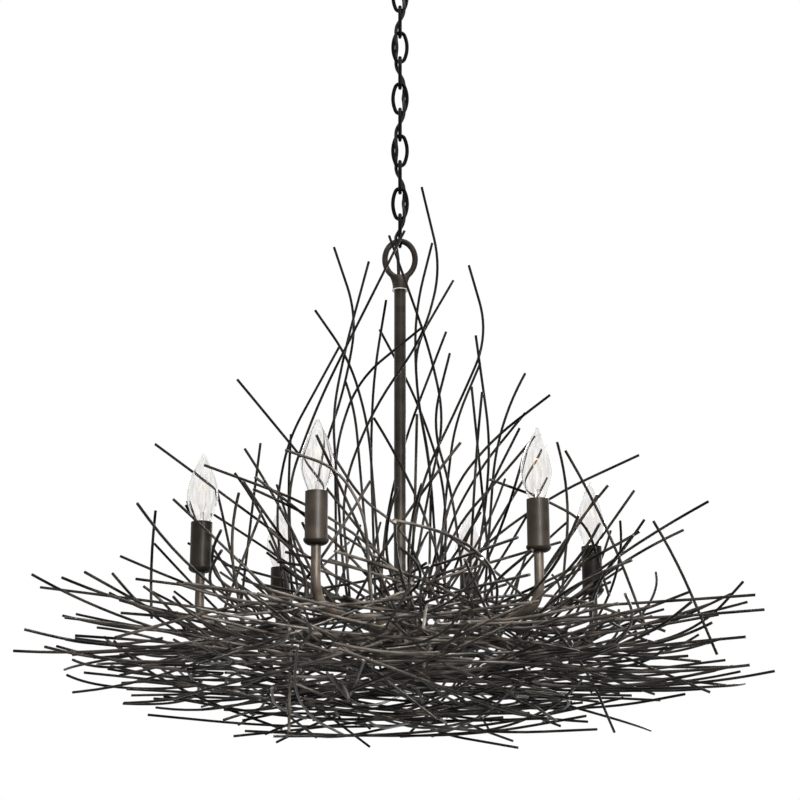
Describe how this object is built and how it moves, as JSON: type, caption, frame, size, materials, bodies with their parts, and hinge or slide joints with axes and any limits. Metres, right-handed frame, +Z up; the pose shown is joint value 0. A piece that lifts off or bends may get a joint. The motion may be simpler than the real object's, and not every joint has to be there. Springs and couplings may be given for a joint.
{
  "type": "chandelier",
  "caption": "Hanging chandelier shaped as a nest of bent dark bronze wires round a central stem, with candle lamps and a chain from a ceiling canopy.",
  "frame": {"origin": "centre of the mounting strap's slots, on the ceiling plane", "axes": "+Z up into the ceiling, +X along the mounting strap to the viewer's right, -Y towards the viewer"},
  "size_m": [0.7457, 0.7905, 0.9693],
  "materials": {
    "bronze_wire": "dark bronze, satin",
    "bronze_tube": "dark bronze, satin",
    "bronze_sleeve": "dark bronze, satin",
    "bronze_cast": "dark bronze, satin",
    "bronze_spun": "dark bronze, satin",
    "chain": "near-black bronze, satin",
    "bright_washer": "worn bright edge",
    "plated_steel": "zinc plated",
    "cord": "smooth dark lamp cord",
    "socket": "moulded",
    "bulb_glass": "clear blown glass",
    "bulb_brass": "screw shell",
    "bulb_mount": "glass stem and leads"
  },
  "bodies": {
    "ceiling_fitting": {"mounting_strap": "plated_steel", "threaded_nipple": "plated_steel", "nipple_lock_nut": "plated_steel", "ceiling_canopy": "bronze_spun", "canopy_collar": "bronze_cast", "canopy_loop": "bronze_cast", "supply_cord": "cord"},
    "link_01": {"chain_link_01": "chain"},
    "link_02": {"chain_link_02": "chain"},
    "link_03": {"chain_link_03": "chain"},
    "link_04": {"chain_link_04": "chain"},
    "link_05": {"chain_link_05": "chain"},
    "link_06": {"chain_link_06": "chain"},
    "link_07": {"chain_link_07": "chain"},
    "link_08": {"chain_link_08": "chain"},
    "link_09": {"chain_link_09": "chain"},
    "link_10": {"chain_link_10": "chain"},
    "chandelier": {"fixture_loop": "bronze_cast", "stem_washer": "bright_washer", "stem_tube": "bronze_tube", "hub_body": "bronze_cast", "hub_cover": "bronze_cast", "hub_cap_nut": "bronze_cast", "lamp_arms": "bronze_tube", "arm_nuts": "bronze_cast", "candle_cups": "bronze_cast", "candle_sleeves": "bronze_sleeve", "lamp_sockets": "socket", "inner_hoop": "bronze_wire", "outer_hoop": "bronze_wire", "bed_wires_upper": "bronze_wire", "bed_wires_lower": "bronze_wire", "balance_wires": "bronze_wire", "under_wires": "bronze_wire", "rim_wires_upper": "bronze_wire", "rim_wires_lower": "bronze_wire", "leaning_wires": "bronze_wire", "spray_wires_left": "bronze_wire", "spray_wires_right": "bronze_wire", "spray_wires_front": "bronze_wire", "spray_wires_back": "bronze_wire"},
    "bulb_1": {"bulb_1_glass": "bulb_glass", "bulb_1_base": "bulb_brass", "bulb_1_mount": "bulb_mount"},
    "bulb_2": {"bulb_2_glass": "bulb_glass", "bulb_2_base": "bulb_brass", "bulb_2_mount": "bulb_mount"},
    "bulb_3": {"bulb_3_glass": "bulb_glass", "bulb_3_base": "bulb_brass", "bulb_3_mount": "bulb_mount"},
    "bulb_4": {"bulb_4_glass": "bulb_glass", "bulb_4_base": "bulb_brass", "bulb_4_mount": "bulb_mount"},
    "bulb_5": {"bulb_5_glass": "bulb_glass", "bulb_5_base": "bulb_brass", "bulb_5_mount": "bulb_mount"},
    "bulb_6": {"bulb_6_glass": "bulb_glass", "bulb_6_base": "bulb_brass", "bulb_6_mount": "bulb_mount"}
  },
  "joints": [
    {"name": "link_01_swing", "type": "hinge", "parent": "ceiling_fitting", "child": "link_01", "pos_m": [0, 0, -0.0974], "axis": [0, 1, 0], "range_deg": [-8, 8], "deforming": ["supply_cord"]},
    {"name": "link_02_swing", "type": "hinge", "parent": "link_01", "child": "link_02", "pos_m": [0, 0, -0.128], "axis": [1, 0, 0], "range_deg": [-8, 8], "deforming": ["supply_cord"]},
    {"name": "link_03_swing", "type": "hinge", "parent": "link_02", "child": "link_03", "pos_m": [0, 0, -0.1597], "axis": [0, 1, 0], "range_deg": [-8, 8], "deforming": ["supply_cord"]},
    {"name": "link_04_swing", "type": "hinge", "parent": "link_03", "child": "link_04", "pos_m": [0, 0, -0.1914], "axis": [1, 0, 0], "range_deg": [-8, 8], "deforming": ["supply_cord"]},
    {"name": "link_05_swing", "type": "hinge", "parent": "link_04", "child": "link_05", "pos_m": [0, 0, -0.2231], "axis": [0, 1, 0], "range_deg": [-8, 8], "deforming": ["supply_cord"]},
    {"name": "link_06_swing", "type": "hinge", "parent": "link_05", "child": "link_06", "pos_m": [0, 0, -0.2548], "axis": [1, 0, 0], "range_deg": [-8, 8], "deforming": ["supply_cord"]},
    {"name": "link_07_swing", "type": "hinge", "parent": "link_06", "child": "link_07", "pos_m": [0, 0, -0.2865], "axis": [0, 1, 0], "range_deg": [-8, 8], "deforming": ["supply_cord"]},
    {"name": "link_08_swing", "type": "hinge", "parent": "link_07", "child": "link_08", "pos_m": [0, 0, -0.3182], "axis": [1, 0, 0], "range_deg": [-8, 8], "deforming": ["supply_cord"]},
    {"name": "link_09_swing", "type": "hinge", "parent": "link_08", "child": "link_09", "pos_m": [0, 0, -0.3499], "axis": [0, 1, 0], "range_deg": [-8, 8], "deforming": ["supply_cord"]},
    {"name": "link_10_swing", "type": "hinge", "parent": "link_09", "child": "link_10", "pos_m": [0, 0, -0.3816], "axis": [1, 0, 0], "range_deg": [-8, 8], "deforming": ["supply_cord"]},
    {"name": "chandelier_swing", "type": "hinge", "parent": "link_10", "child": "chandelier", "pos_m": [0, 0, -0.4133], "axis": [0, 1, 0], "range_deg": [-8, 8], "deforming": ["supply_cord"]},
    {"name": "bulb_1_unscrew", "type": "slide", "parent": "chandelier", "child": "bulb_1", "axis": [0, 0, 1], "range_m": [0, 0.03]},
    {"name": "bulb_2_unscrew", "type": "slide", "parent": "chandelier", "child": "bulb_2", "axis": [0, 0, 1], "range_m": [0, 0.03]},
    {"name": "bulb_3_unscrew", "type": "slide", "parent": "chandelier", "child": "bulb_3", "axis": [0, 0, 1], "range_m": [0, 0.03]},
    {"name": "bulb_4_unscrew", "type": "slide", "parent": "chandelier", "child": "bulb_4", "axis": [0, 0, 1], "range_m": [0, 0.03]},
    {"name": "bulb_5_unscrew", "type": "slide", "parent": "chandelier", "child": "bulb_5", "axis": [0, 0, 1], "range_m": [0, 0.03]},
    {"name": "bulb_6_unscrew", "type": "slide", "parent": "chandelier", "child": "bulb_6", "axis": [0, 0, 1], "range_m": [0, 0.03]}
  ]
}
